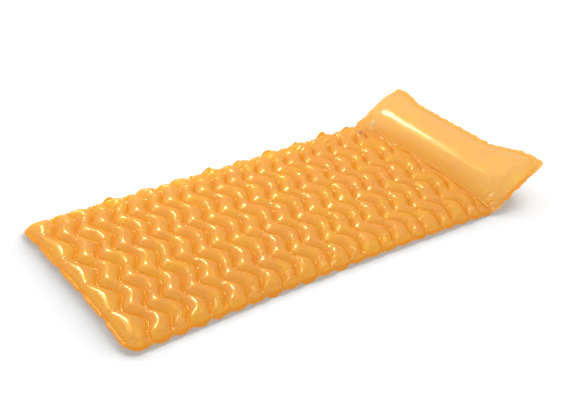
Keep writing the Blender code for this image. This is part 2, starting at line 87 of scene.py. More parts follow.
def weld_x(line, y):
    """Distance of a weld from the foot end, at y from the middle."""
    foot_bow = FOOT_BOW_AT - FOOT_BOW * (1 - to_side(y))
    head_bow = HEAD_BOW * (1 - 2 * to_side(y))
    if line == 0:
        near_ear = ramp(-y, 0.10, 0.28) ** 1.5
        far_ear = ramp(y, 0.20, 0.20) ** 1.5
        return FOOT_WELD_AT - NEAR_FOOT_EAR * near_ear - FAR_FOOT_EAR * far_ear
    if line == LAST_WELD:
        return MATTRESS_END + head_bow
    x = FIRST_WAVE_AT + (line - 1) * TUBE_PITCH + weld_wave(line, y)
    x = x + foot_bow * max(0, 1 - line / 4)
    return x + head_bow * max(0, 1 - (LAST_WELD - line) / 3)


def weld_z(line, y):
    near_head = max(0, 1 - (LAST_WELD - line) / 2)
    crinkle = fold_crinkle(y) if line == LAST_WELD else 0
    return HEAD_DOME * (1 - 2 * to_side(y)) * near_head + crinkle


def side_y(x):
    """Half width at the side weld: drawn in at mid-length, rounded at the foot corners."""
    y = HALF_WIDTH - WAIST * at_mid_length(x)
    corner = np.clip((FOOT_CORNER - x) / FOOT_CORNER, 0, 1)
    return y - CORNER_ROUNDING * (1 - np.sqrt(1 - corner ** 2))


def film_y(v, x):
    """Places across the mat for v from -1 to 1, at x from the foot end."""
    return v * (side_y(np.full(1, x))[0] - np.where(v < 0, NEAR_WAIST * at_mid_length(x), 0))


def soft_noise(t, lengths, seed):
    """A smooth random wave along t, between about -1 and 1."""
    r = np.random.default_rng(seed)
    total = np.zeros_like(t)
    for length in lengths:
        total += np.sin(2 * math.pi * t / length + r.uniform(0, 2 * math.pi)) * r.uniform(0.6, 1)
    return total / len(lengths)


def fold_crinkle(y):
    """Small ups and downs of the weld that mattress and pillow share."""
    return FOLD_CRINKLE * soft_noise(y, (0.024, 0.037, 0.061), 77)


def mattress_rows():
    """Rows of the net from foot to head: where it is welded, where it lies when cut flat,
    whether it is welded, and the tube with the share of its width."""
    v = np.linspace(-1, 1, STEPS_ACROSS + 1)
    spare = np.sign(v) * SIDE_SLACK * ramp(np.abs(v), SIDE_SLACK_FROM, 1 - SIDE_SLACK_FROM) ** 1.3
    placed, flat, welded, facts = [], [], [], []
    slack_so_far = 0.0
    for tube in range(LAST_WELD):
        y = film_y(v, weld_x(tube, np.zeros(1))[0])
        next_y = film_y(v, weld_x(tube + 1, np.zeros(1))[0])
        start = weld_x(tube, y) + (WELD_BAND / 2 if tube else 0)
        end = weld_x(tube + 1, next_y) - (WELD_BAND / 2 if tube + 1 < LAST_WELD else 0)
        start_z, end_z = weld_z(tube, y), weld_z(tube + 1, next_y)
        steps = {0: FIRST_STEPS, LAST_WELD - 1: LAST_STEPS}.get(tube, TUBE_STEPS)
        slack = SLACK * (end - start).mean() * (LAST_SLACK if tube == LAST_WELD - 1 else 1)
        for i in range(steps + 1):
            share = i / steps
            x = start + (end - start) * share
            row_y = film_y(v, x.mean())
            flat_x = x + slack_so_far + slack * share
            placed.append(np.stack([x, row_y, start_z + (end_z - start_z) * share], 1))
            flat.append(np.stack([flat_x, row_y * WIDTH_SLACK + spare, 0 * x], 1))
            welded.append(np.full(len(v), i in (0, steps)))
            facts.append((tube, share))
        slack_so_far += slack
    return map(np.array, (placed, flat, welded, facts))


WIDE_END = 0.073             # a tube's end that is wider than this has a large ruffle
FAR_RUFFLES = ((0.0140, 0.0040), (0.0045, 0.0020))       # up and out, of wide and narrow ends
NEAR_RUFFLES = ((-0.0085, 0.0070), (-0.0045, 0.0035))
END_TUBE_RUFFLE = (-0.003, 0.003)
RUFFLE_ROOT = 0.0030         # the weld between two ruffles is drawn in by this much


def ruffle_sides(placed, facts):
    """The rim is cut longer than the tubes leave room for, so it folds up and down."""
    last = placed.shape[1] - 1
    for column, side in ((0, -1), (last, 1)):
        for tube in range(LAST_WELD):
            rows = np.flatnonzero(facts[:, 0] == tube)
            width = placed[rows[-1], column, 0] - placed[rows[0], column, 0]
            hump = np.sin(math.pi * facts[rows, 1])
            lean = np.random.default_rng(40 * tube + column).uniform(0.6, 1.4)
            narrow = int(width <= WIDE_END)
            if tube in (0, LAST_WELD - 1):
                up, out = END_TUBE_RUFFLE
            elif side > 0:
                up, out = FAR_RUFFLES[narrow]
                up *= 0.45 + 0.55 * ramp(tube, 2, 3)
            else:
                up, out = NEAR_RUFFLES[narrow]
                out *= 1.4 - 1.2 * ramp(tube, 3, 4) + 0.4 * ramp(tube, 14, 4)
            placed[rows, column, 2] += up * lean * hump ** 1.5
            placed[rows, column, 1] += side * (out * hump ** 0.7 - RUFFLE_ROOT) * lean
    return placed


def net_faces(index, upward):
    corners = (index[:-1, :-1], index[1:, :-1], index[1:, 1:], index[:-1, 1:])
    faces = np.stack(corners, -1).reshape(-1, 4)
    return faces if upward else faces[:, ::-1]


FILM_SPRING, FILM_STIFFNESS = 15, 0.3        # against stretching and against bending
DRAWN_IN_AFTER = 15          # steps of the simulation
FILM_START, FILM_UNEVEN = 0.003, 0.0003      # height of the flat film before it is blown up


def mesh_object(name, points, faces):
    data = bpy.data.meshes.new(name)
    data.from_pydata(points, [], faces)
    made = bpy.data.objects.new(name, data)
    bpy.context.scene.collection.objects.link(made)
    return made


def blown_up(name, placed, flat, welded, pressure, steps):
    """Cloth simulation: the welds draw in from the flat cut to their places while air
    pressure lifts the film between them. The result is the net's new points."""
    shape = placed.shape
    start = flat.copy()
    start[..., 0] += placed[..., 0].mean() - flat[..., 0].mean()
    lift = np.random.default_rng(5).normal(0, FILM_UNEVEN, shape[:2])
    start[..., 2] = np.where(welded, 0, FILM_START + lift)
    index = np.arange(shape[0] * shape[1]).reshape(shape[:2])
    net = mesh_object(name, start.reshape(-1, 3).tolist(), net_faces(index, True).tolist())
    data = net.data
    group = net.vertex_groups.new(name="welds")
    group.add([int(i) for i in np.flatnonzero(welded.ravel())], 1.0, "REPLACE")
    net.shape_key_add(name="Basis")
    drawn_in = net.shape_key_add(name="drawn in")
    drawn_in.data.foreach_set("co", placed.reshape(-1).astype(np.float32))
    for step, value in ((1, 0.0), (DRAWN_IN_AFTER, 1.0)):
        drawn_in.value = value
        drawn_in.keyframe_insert("value", frame=step)
    cloth = net.modifiers.new("air", "CLOTH")
    vinyl = cloth.settings
    vinyl.vertex_group_mass = "welds"
    vinyl.quality = 5
    vinyl.mass = 0.01
    vinyl.tension_stiffness = vinyl.compression_stiffness = FILM_SPRING
    vinyl.shear_stiffness = FILM_SPRING / 2
    vinyl.bending_stiffness = FILM_STIFFNESS
    vinyl.use_pressure = True
    vinyl.uniform_pressure_force = pressure
    vinyl.effector_weights.gravity = 0
    cloth.collision_settings.use_collision = False
    cloth.point_cache.frame_end = steps
    for step in range(1, steps + 1):
        bpy.context.scene.frame_set(step)
    shown = net.evaluated_get(bpy.context.evaluated_depsgraph_get())
    points = np.empty(shape[0] * shape[1] * 3, np.float32)
    shown.to_mesh().vertices.foreach_get("co", points)
    shown.to_mesh_clear()
    action = data.shape_keys.animation_data.action
    net.shape_key_clear()
    bpy.data.actions.remove(action)
    bpy.data.objects.remove(net)
    bpy.data.meshes.remove(data)
    bpy.context.scene.frame_set(1)
    return points.astype(float).reshape(shape)


RIM_WIDTH = 0.012
RIM_SHARES = (0.34, 0.67, 1.0)         # the rim's three lines, as shares of its width
RIM_SWAY, RIM_CURL = 0.16, 0.30        # its width varies, and is less where it curls
CORNER_REACH, CORNER_LIFT = 0.011, 0.010     # the far corner at the fold stands out and up


def from_ends(edge, length):
    """0 at both ends of a line of points, 1 from length points away from them on."""
    order = np.arange(len(edge))
    return np.clip(np.minimum(order, order[::-1]) / length, 0, 1)


def rim_lines(edge, outward, height, droop, reach, seed, flutter_size):
    """Points of the flange outside a welded edge: three more lines, fanning out into folds.
    height is the weld's own ruffle, which the flange carries on outwards."""
    along = np.concatenate([[0], np.cumsum(np.linalg.norm(np.diff(edge, axis=0), axis=1))])
    flutter = soft_noise(along, (0.034, 0.046, 0.023), seed)
    sway = soft_noise(along, (0.029, 0.051, 0.077), seed + 1) * from_ends(edge, 5)
    curl = np.clip(np.abs(height) / 0.010, 0, 1)
    lines = []
    for share in RIM_SHARES:
        out = reach * share * (1 + RIM_SWAY * sway - RIM_CURL * curl * share)
        line = edge + outward * out[:, None]
        line[:, 2] += height * 0.9 * share - droop * share ** 1.5 + flutter_size * flutter * share
        lines.append(line)
    return lines


def outward_of(edge, inside):
    """Flat unit normals of an edge, pointing away from the point inside, and straight to the
    side beside the fold."""
    way = np.gradient(edge[:, :2], axis=0)
    for _ in range(4):
        way[1:-1] = (way[:-2] + 2 * way[1:-1] + way[2:]) / 4
    out = np.stack([way[:, 1], -way[:, 0], 0 * way[:, 0]], 1)
    out /= np.linalg.norm(out, axis=1)[:, None]
    if np.sum(out[:, :2] * (edge[:, :2] - inside)) < 0:
        out = -out
    out[:2] = (0, -1, 0)
    out[-2:] = (0, 1, 0)
    return out


def strip_between(inner, outer):
    return np.stack([inner[:-1], inner[1:], outer[1:], outer[:-1]], 1)


def add_rim(points, faces, ring, lines, forward):
    """Adds the rim's lines to a net's points, and the strips between them to its faces.
    forward is whether the strips are wound the way that the ring runs."""
    inner = ring
    for line in lines:
        outer = len(points) + np.arange(len(line))
        points = np.concatenate([points, line])
        strip = strip_between(inner, outer)
        faces.append(strip if forward else strip[:, ::-1])
        inner = outer
    return points


GROUND_ROOM = 0.0002         # the films stay this far above the ground
GROUND_EASE = 0.0028         # and flatten towards it over this height


def smooth_sheet(name, points, faces, doubled, pucker):
    """A mesh object from a net, with one step of subdivision, shaded smooth. doubled is 1
    where the two films are welded into one, which looks deeper orange. pucker is how far
    the small folds that run off a weld lift the film, in metres."""
    sheet = mesh_object(name, points.tolist(), np.concatenate(faces).tolist())
    data = sheet.data
    for mark, values in (("doubled", doubled), ("pucker", pucker)):
        data.attributes.new(mark, "FLOAT", "POINT").data.foreach_set(
            "value", values.astype(np.float32))
    divide = sheet.modifiers.new("divide", "SUBSURF")
    divide.levels = divide.render_levels = 1
    divide.boundary_smooth = "ALL"
    shown = sheet.evaluated_get(bpy.context.evaluated_depsgraph_get())
    finished = bpy.data.meshes.new_from_object(shown)
    sheet.modifiers.clear()
    places = np.empty(len(finished.vertices) * 3, np.float32)
    finished.vertices.foreach_get("co", places)
    places = places.reshape(-1, 3)
    lift = np.empty(len(places), np.float32)
    finished.attributes["pucker"].data.foreach_get("value", lift)
    along = places[:, 1] + 0.25 * places[:, 0]
    places[:, 2] += lift * soft_noise(along, (0.0110, 0.0145, 0.0190), 91)
    # the ground flattens what would reach below it
    over = places[:, 2] - (GROUND_ROOM + GROUND_EASE)
    pressed = GROUND_ROOM + GROUND_EASE * np.exp(over / GROUND_EASE)
    places[:, 2] = np.where(over < 0, pressed, places[:, 2])
    finished.vertices.foreach_set("co", places.ravel())
    finished.attributes.remove(finished.attributes["pucker"])
    sheet.data = finished
    bpy.data.meshes.remove(data)
    finished.name = name
    finished.shade_smooth()
    return sheet


VALVE_HOLE = 0.0095          # radius of the hole that is punched for a valve
HOLE_DEPTH = 0.02            # only film this near to the valve's place is punched
SEAT_GAP = 0.0004            # the film lies this far under a valve's flange


def cut_round_hole(film, centre, way):
    """Leaves out the faces behind a valve's flange, where the film is punched."""
    bm = bmesh.new()
    bm.from_mesh(film.data)
    gone = []
    for face in bm.faces:
        arm = np.array(face.calc_center_median()) - centre
        height = arm @ way
        if abs(height) < HOLE_DEPTH and np.linalg.norm(arm - height * way) < VALVE_HOLE:
            gone.append(face)
    bmesh.ops.delete(bm, geom=gone, context="FACES")
    bm.to_mesh(film.data)
    bm.free()


placed, flat, welded, facts = mattress_rows()
placed = ruffle_sides(placed, facts)
welded[:, 0] = welded[:, -1] = True
net = blown_up("mattress net", placed, flat, welded, pressure=1000, steps=22)

# The valve sits on a small flat place near the far end of the last tube but one.
MATTRESS_VALVE = np.array((0.61043, 0.335, 0.045))
UPWARD = np.array((0, 0, 1))
VALVE_PLACE, VALVE_PLACE_EDGE = 0.034, 0.017
away = np.hypot(net[..., 0] + FOOT_X - MATTRESS_VALVE[0], net[..., 1] - MATTRESS_VALVE[1])
valve_place = np.where(welded, 0, eased(ramp(-away, -VALVE_PLACE, VALVE_PLACE_EDGE)))

# A shallow hollow leaves room for the pillow's valve strap when the pillow folds upright.
STRAP_PLACE = (0.6345, 0.339)
STRAP_ROOM, STRAP_ROOM_EDGE, STRAP_ROOM_DEPTH = 0.020, 0.014, 0.0045
away = np.hypot(net[..., 0] + FOOT_X - STRAP_PLACE[0], net[..., 1] - STRAP_PLACE[1])
strap_room = STRAP_ROOM_DEPTH * eased(ramp(-away, -STRAP_ROOM, STRAP_ROOM_EDGE))

# Small folds run off the welds, most of all on the hollow side of each bend.
FOLD_LIFT, BEND_LIFT, FOLD_CREST = 0.0003, 0.0007, 0.006
weld_rows = np.flatnonzero((facts[:, 1] == 0) | (facts[:, 1] == 1))
bends = np.array([weld_wave(int(facts[i, 0] + facts[i, 1]), placed[i, :, 1]) / WAVE_SWING
                  for i in weld_rows])
offset = placed[..., 0][:, None] - placed[weld_rows, :, 0][None]
nearest = np.abs(offset).argmin(1)[:, None]
offset = np.take_along_axis(offset, nearest, 1)[:, 0]
bend = np.take_along_axis(bends[None] + 0 * placed[:, None, :, 0], nearest, 1)[:, 0]
hollow = np.clip(-np.sign(offset) * bend, 0, 1)
reached = np.abs(offset) / FOLD_CREST
weld_folds = (FOLD_LIFT + BEND_LIFT * hollow) * reached * np.exp(1 - reached)
weld_folds = np.concatenate([weld_folds, weld_folds[-1:] * 0])

FILM_GAP = 0.0003            # between the two films where they are welded
HALF_FOLD = 0.0059           # from the last weld to the line where the pillow folds
LOWER_FULLNESS = 0.93        # the ground keeps the lower film a little flatter
WELD_TONE = 0.9              # an inner weld is a little paler than the rim
SIDE_RIM, FOOT_RIM, PINCHED_RIM, RAGGED_RIM = 0.86, 0.26, 0.62, 0.26     # of its width
RIM_DROOP, FAR_RISE = 0.0055, 0.0040         # the far side hangs down less
RIM_FLUTTER, FAR_FLUTTER = 0.0044, 0.0016    # small folds, higher at the far side


def mattress_film(name, up):
    sign = 1 if up else -1
    height = net[..., 2] - placed[..., 2]
    if up:
        seat = MATTRESS_VALVE[2] - SEAT_GAP - WELD_HEIGHT - placed[..., 2]
        height = height + valve_place * (seat - height)
        height = np.maximum(height - strap_room, 0)
    half = net.copy()
    half[..., 2] = placed[..., 2] + sign * (height * (1 if up else LOWER_FULLNESS) + FILM_GAP / 2)
    # the head end of the film runs on to the fold line
    half = np.concatenate([half, half[-1:] + np.array((HALF_FOLD, 0, 0))])
    level = np.concatenate([placed[..., 2], placed[-1:, :, 2]])
    doubled = np.concatenate([welded, welded[-1:]]) * WELD_TONE
    doubled[0] = doubled[-2:] = doubled[:, 0] = doubled[:, -1] = 1
    rows, columns = half.shape[:2]
    index = np.arange(rows * columns).reshape(rows, columns)
    # round the rim: near side from head to foot, foot, far side from foot to head
    ring = np.concatenate([index[::-1, 0], index[0, 1:-1], index[:, -1]])
    points = half.reshape(-1, 3)
    edge = points[ring]
    off_fold = from_ends(ring, 4)
    at_foot = np.zeros(len(ring))
    at_foot[rows - 3:rows + columns + 1] = 1
    at_foot = np.convolve(at_foot, np.ones(5) / 5, "same")
    far_side = np.clip(edge[:, 1] / 0.3, 0, 1)
    corner = ramp(edge[:, 0], MATTRESS_END - 0.080, 0.060) * far_side
    pinch = np.clip(-weld_wave(1, edge[:, 1]) / WAVE_SWING, 0, 1) ** 5 * at_foot
    ragged = soft_noise(np.arange(len(ring)) * 0.006, (0.019, 0.031, 0.047), 12) * (1 - at_foot)
    reach = SIDE_RIM + FOOT_RIM * at_foot - PINCHED_RIM * pinch + RAGGED_RIM * ragged
    reach = RIM_WIDTH * (1 + (reach - 1) * off_fold) + CORNER_REACH * corner
    height = level.reshape(-1)[ring] * off_fold * (1 - at_foot)
    droop = RIM_DROOP * at_foot + (RIM_DROOP - FAR_RISE * far_side) * (1 - at_foot) * off_fold
    droop = droop - CORNER_LIFT * corner
    flutter = (RIM_FLUTTER + FAR_FLUTTER * far_side) * off_fold
    flutter = flutter * (1 - 0.7 * at_foot) * (1 - 0.8 * corner)
    middle = np.array((MATTRESS_END / 2, 0.0))
    lines = rim_lines(edge, outward_of(edge, middle), height, droop, reach, 3, flutter)
    faces = [net_faces(index, up)]
    points = add_rim(points, faces, ring, lines, up)
    on_rim = np.ones(len(points) - rows * columns)
    doubled = np.concatenate([doubled.ravel(), on_rim])
    pucker = np.concatenate([sign * weld_folds.ravel(), 0 * on_rim])
    points[:, 0] += FOOT_X
    points[:, 2] += WELD_HEIGHT
    return smooth_sheet(name, points, faces, doubled, pucker)


def add_node(nodes, kind, **inputs):
    """A shader node with values for its inputs, each named with _ for a space."""
    node = nodes.new("ShaderNode" + kind)
    for label, value in inputs.items():
        node.inputs[label.replace("_", " ")].default_value = value
    return node


def two_tone(nodes, links, source, low, deep, high, pale):
    """A ramp from one colour to another over a noise's values from low to high."""
    shade = nodes.new("ShaderNodeValToRGB")
    for end, position, colour in zip(shade.color_ramp.elements, (low, high), (deep, pale)):
        end.position = position
        end.color = (*colour, 1)
    links.new(source.outputs["Fac"], shade.inputs["Fac"])
    return shade.outputs["Color"]


def mixed(nodes, links, share, first, second):
    """One shader over another. share is how much of the second one shows."""
    mix = add_node(nodes, "MixShader", Fac=share)
    links.new(first.outputs[0], mix.inputs[1])
    links.new(second.outputs[0], mix.inputs[2])
    return mix


INNER_GLOSS = (1.0, 0.74, 0.08)        # gloss of the film's inner face, seen through it
THROUGH_FILM, LIGHT_THROUGH = 0.27, 0.54     # seen through the film, and glowing in it


def orange_vinyl(name, deep, pale, welded_colour, through, welded_through, shine, halo):
    """Glossy see-through vinyl: some of the light bounces off the film, some glows in it.
    deep and pale are its two tones, through is the tone of light that comes through it,
    shine tints its gloss, and halo is the share of its inner face's gloss."""
    material = bpy.data.materials.new(name)
    material.use_nodes = True
    nodes, links = material.node_tree.nodes, material.node_tree.links
    nodes.clear()
    place = add_node(nodes, "TexCoord")
    cloud = add_node(nodes, "TexNoise", Scale=15, Detail=2)
    grain = add_node(nodes, "TexNoise", Scale=60, Detail=3)
    for noise in (cloud, grain):
        links.new(place.outputs["Object"], noise.inputs["Vector"])
    seam = nodes.new("ShaderNodeAttribute")
    seam.attribute_name = "doubled"
    tone = nodes.new("ShaderNodeMix")
    tone.data_type = "RGBA"
    tone.inputs["B"].default_value = (*welded_colour, 1)
    links.new(two_tone(nodes, links, cloud, 0.40, deep, 0.64, pale), tone.inputs["A"])
    inner_tone = nodes.new("ShaderNodeMix")
    inner_tone.data_type = "RGBA"
    inner_tone.inputs["A"].default_value = (*through, 1)
    inner_tone.inputs["B"].default_value = (*welded_through, 1)
    for mix in (tone, inner_tone):
        links.new(seam.outputs["Fac"], mix.inputs["Factor"])
    bump = add_node(nodes, "Bump", Strength=0.10, Distance=0.0008)
    links.new(grain.outputs["Fac"], bump.inputs["Height"])
    haze = add_node(nodes, "MapRange", To_Min=0.08, To_Max=0.16)
    links.new(grain.outputs["Fac"], haze.inputs["Value"])
    skin = add_node(nodes, "BsdfPrincipled", IOR=1.5, Specular_IOR_Level=0.75,
                    Specular_Tint=(*shine, 1))
    links.new(tone.outputs["Result"], skin.inputs["Base Color"])
    links.new(haze.outputs["Result"], skin.inputs["Roughness"])
    glow = add_node(nodes, "BsdfTranslucent")
    links.new(inner_tone.outputs["Result"], glow.inputs["Color"])
    clear = add_node(nodes, "BsdfTransparent", Color=(*[c ** 0.6 for c in through], 1))
    inner = add_node(nodes, "BsdfGlossy", Color=(*INNER_GLOSS, 1), Roughness=0.33)
    for shader in (skin, glow, inner):
        links.new(bump.outputs["Normal"], shader.inputs["Normal"])
    surface = mixed(nodes, links, halo, skin, inner)
    glowing = mixed(nodes, links, LIGHT_THROUGH, surface, glow)
    film = mixed(nodes, links, THROUGH_FILM, glowing, clear)
    out = add_node(nodes, "OutputMaterial")
    links.new(film.outputs["Shader"], out.inputs["Surface"])
    return material


mattress_vinyl = orange_vinyl(
    "mattress_vinyl", deep=(0.97, 0.44, 0.155), pale=(1.0, 0.55, 0.110),
    welded_colour=(1.0, 0.37, 0.050), through=(1.0, 0.73, 0.105),
    welded_through=(1.0, 0.72, 0.055), shine=(1.0, 0.97, 0.68), halo=0.11)

# Both chambers' films bend over the weld that they share.
PILLOW_TILT = math.radians(30.54)
CHORD_WAY = np.array((math.cos(PILLOW_TILT), 0.0, math.sin(PILLOW_TILT)))

for name, node, up in (("mattress_upper_film", "mattress_top_sheet", True),
                       ("mattress_lower_film", "mattress_bottom_sheet", False)):
    film = mattress_film(name, up)
    if up:
        cut_round_hole(film, MATTRESS_VALVE, UPWARD)
    film.data.materials.append(mattress_vinyl)
    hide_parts(node)
    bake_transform(film)


# Pillow films
# Two more sheets of the same vinyl, welded to each other along the head, along both ends
# and to the mattress. Blown up, they stand tilted over the head of the mattress, with
# puckered ends, pointed ears at the head corners and a notched flange.
PILLOW_START = 1.586         # from the foot end of the mat to the pillow's first weld
PILLOW_CHORD = 0.214
PILLOW_CUT = 0.272           # flat length of each sheet from weld to weld
EAR_CUT = 0.7                # share of an ear's length that the flat sheet has more
NEAR_EAR, FAR_EAR = 0.045, 0.023
FAR_BULGE, NEAR_BULGE = 0.013, -0.005        # how far the end welds bow out
END_SLACK, END_SLACK_FROM = 0.040, 0.72
PILLOW_WIDTH_SLACK = 1.004
HEAD_PUCKER, HEAD_WANDER = 0.0022, 0.0012    # up and out
END_PUCKER, END_WANDER = 0.0045, 0.0025
PILLOW_ROWS, PILLOW_COLUMNS = 46, 144


def pillow_net():
    """The pillow's sheet in its own flat frame: x along the chord from the fold."""
    s = np.linspace(0, 1, PILLOW_ROWS + 1)[:, None]
    v = np.linspace(-1, 1, PILLOW_COLUMNS + 1)[None, :]
    ear = NEAR_EAR * eased(ramp(-v, 0.35, 0.50)) + FAR_EAR * eased(ramp(v, 0.62, 0.32))
    half = HALF_WIDTH + np.where(v > 0, FAR_BULGE, NEAR_BULGE) * 4 * s * (1 - s)
    placed = np.stack([s * (PILLOW_CHORD + ear), v * half, 0 * s * v], -1)
    spare = np.sign(v) * END_SLACK * ramp(np.abs(v), END_SLACK_FROM, 1 - END_SLACK_FROM) ** 1.3
    flat_y = v * half * PILLOW_WIDTH_SLACK + spare
    flat = np.stack([s * (PILLOW_CUT + EAR_CUT * ear), flat_y, 0 * s * v], -1)
    welded = np.zeros(placed.shape[:2], bool)
    welded[0] = welded[-1] = True
    welded[:, 0] = welded[:, -1] = True
    # the welds at the head and at both ends pucker
    y = placed[-1, :, 1]
    placed[-1, :, 2] += HEAD_PUCKER * soft_noise(y, (0.027, 0.039, 0.055), 21)
    placed[-1, :, 0] += HEAD_WANDER * soft_noise(y, (0.027, 0.035), 22)
    x = placed[1:-1, 0, 0]
    ease = np.sin(math.pi * np.clip(x / PILLOW_CHORD, 0, 1)) ** 0.5
    for column, side in ((0, -1), (-1, 1)):
        placed[1:-1, column, 2] += END_PUCKER * ease * soft_noise(x, (0.045, 0.061), 30 + side)
        placed[1:-1, column, 1] += END_WANDER * ease * soft_noise(x, (0.045, 0.030), 33 + side)
    return placed, flat, welded


def settled(film):
    """Evens out the last small creases of a blown-up net, away from its welds."""
    column = np.arange(1, PILLOW_COLUMNS)
    ease = ramp(np.minimum(column, column[::-1]), 8, 12)[None, :, None]
    for _ in range(14):
        middle = film[1:-1, 1:-1]
        mean = (film[:-2, 1:-1] + film[2:, 1:-1] + film[1:-1, :-2] + film[1:-1, 2:]) / 4
        film[1:-1, 1:-1] = middle + 0.5 * ease * (mean - middle)
    return film


placed, flat, welded = pillow_net()
net = blown_up("pillow net", placed, flat, welded, pressure=260, steps=26)
net = settled(net)

# Where the round body meets the near flat end, a crease runs out to the end weld and
# another one down to the fold: places along them as (along the chord, from the middle).
END_CREASES = (((0.077, 0.235), (0.082, 0.322), (0.111, 0.371), (0.128, 0.388)),
               ((0.082, 0.322), (0.045, 0.345), (0.008, 0.378)))
CREASE_HEIGHT, CREASE_WIDTH = 0.0026, 0.0085


def creased(film):
    """The upper sheet with its end creases raised."""
    outward = np.cross(np.gradient(film, axis=0), np.gradient(film, axis=1))
    outward /= np.linalg.norm(outward, axis=-1)[..., None] + 1e-12
    place = np.stack([film[..., 0], -film[..., 1]], -1)
    closest = np.full(film.shape[:2], 1.0)
    for line in END_CREASES:
        for start, end in zip(line[:-1], line[1:]):
            run = np.subtract(end, start)
            share = np.clip(((place - start) @ run) / (run @ run), 0, 1)
            gap = np.linalg.norm(place - start - share[..., None] * run, axis=-1)
            closest = np.minimum(closest, gap)
    lift = CREASE_HEIGHT * np.exp(-0.5 * (closest / CREASE_WIDTH) ** 2)
    lift *= ramp(-film[..., 1], 0.235, 0.070)
    lift[0] = lift[-1] = lift[:, 0] = lift[:, -1] = 0
    return film + lift[..., None] * outward


CHORD_NORMAL = np.array((-math.sin(PILLOW_TILT), 0.0, math.cos(PILLOW_TILT)))
BOW_FADES, CRINKLE_FADES = 0.16, 0.02        # over this much of the chord


def to_place(points):
    """From the pillow's own flat frame to its tilted place, with the bowed fold."""
    bow = (1 - 2 * to_side(points[..., 1])) * np.clip(1 - points[..., 0] / BOW_FADES, 0, 1) ** 1.5
    crinkle = fold_crinkle(points[..., 1]) * np.clip(1 - points[..., 0] / CRINKLE_FADES, 0, 1)
    raised = np.array((PILLOW_START + FOOT_X, 0, WELD_HEIGHT)) + points[..., :1] * CHORD_WAY
    raised = raised + points[..., 2:3] * CHORD_NORMAL
    raised[..., 1] += points[..., 1]
    raised[..., 0] += HEAD_BOW * bow
    raised[..., 2] += HEAD_DOME * bow
    raised[..., 2] += crinkle
    return raised


# The flange of the pillow's valve lies flush in the film, and on its lower side, where the
# pillow curves away, the film laps over it.
PILLOW_VALVE = np.array((0.68871, 0.34429, 0.06168))
PILLOW_VALVE_WAY = np.array((-0.92818, 0.21742, 0.302))
COVERED_WAY = np.array((-0.1435, 0.5397, -0.8296))
COVERED_FROM, COVERED_OVER, FILM_OVER_FLANGE = 0.0085, 0.0030, 0.0022
VALVE_DISH, VALVE_DISH_EDGE, DISH_DEPTH = 0.042, 0.024, 0.03


def seated(points, held):
    """Brings the film round the valve to its flange, apart from the points held in welds."""
    arm = points - PILLOW_VALVE
    height = arm @ PILLOW_VALVE_WAY
    away = np.linalg.norm(arm - height[:, None] * PILLOW_VALVE_WAY, axis=1)
    hold = eased(ramp(-away, -VALVE_DISH, VALVE_DISH_EDGE)) * (np.abs(height) < DISH_DEPTH)
    hold[held] = 0
    seat = FILM_OVER_FLANGE * ramp(arm @ COVERED_WAY, COVERED_FROM, COVERED_OVER) - SEAT_GAP
    return points - (hold * (height - seat))[:, None] * PILLOW_VALVE_WAY


PILLOW_RIM, FAR_END_RIM = 0.016, 0.008       # the flange, and what it has more at the far end
RAGGED_PILLOW, PILLOW_DROOP, PILLOW_FLUTTER = 0.20, 0.001, 0.0034


def pillow_film(name, up):
    half = creased(net) if up else net.copy()
    level = placed[..., 2]
    half[..., 2] = level + (1 if up else -1) * (half[..., 2] - level + FILM_GAP / 2)
    rows, columns = half.shape[:2]
    index = np.arange(rows * columns).reshape(rows, columns)
    # round the rim: near end from fold to head, head, far end from head to fold
    ring = np.concatenate([index[:, 0], index[-1, 1:-1], index[::-1, -1]])
    points = half.reshape(-1, 3)
    edge = points[ring]
    order = np.arange(len(ring))
    off_fold = from_ends(ring, 4)
    corner = ramp(order, len(ring) - 11, 10)
    reach = RIM_WIDTH + (PILLOW_RIM - RIM_WIDTH) * off_fold
    reach[-PILLOW_ROWS:] += FAR_END_RIM * off_fold[-PILLOW_ROWS:]
    ragged = off_fold * soft_noise(order * 0.005, (0.017, 0.029, 0.041), 15)
    reach = reach * (1 + RAGGED_PILLOW * ragged) + CORNER_REACH * corner
    height = level.reshape(-1)[ring] * off_fold
    droop = PILLOW_DROOP * off_fold - CORNER_LIFT * math.cos(PILLOW_TILT) * corner
    middle = np.array((PILLOW_CHORD / 2, 0.0))
    lines = rim_lines(edge, outward_of(edge, middle), height, droop, reach, 6,
                      PILLOW_FLUTTER * off_fold)
    for share, line in zip(RIM_SHARES, lines):
        line[:, 0] += CORNER_LIFT * math.sin(PILLOW_TILT) * corner * share ** 1.5
    faces = [net_faces(index, up)]
    points = to_place(add_rim(points, faces, ring, lines, not up))
    # the weld to the mattress: one more row, with the rim's ends in it
    rim_starts = rows * columns + len(ring) * np.arange(len(RIM_SHARES))
    rim_stops = rim_starts + len(ring) - 1
    last_row = np.concatenate([rim_starts[::-1], index[0], rim_stops])
    fold_row = len(points) + np.arange(len(last_row))
    points = np.concatenate([points, points[last_row] - np.array((HALF_FOLD, 0, 0))])
    strip = strip_between(last_row, fold_row)
    faces.append(strip if up else strip[:, ::-1])
    doubled = np.ones(len(points))
    doubled[:rows * columns] = welded.ravel()
    if up:
        held = np.concatenate([ring, np.arange(rows * columns, len(points))])
        points = seated(points, held)
    return smooth_sheet(name, points, faces, doubled, 0 * doubled)


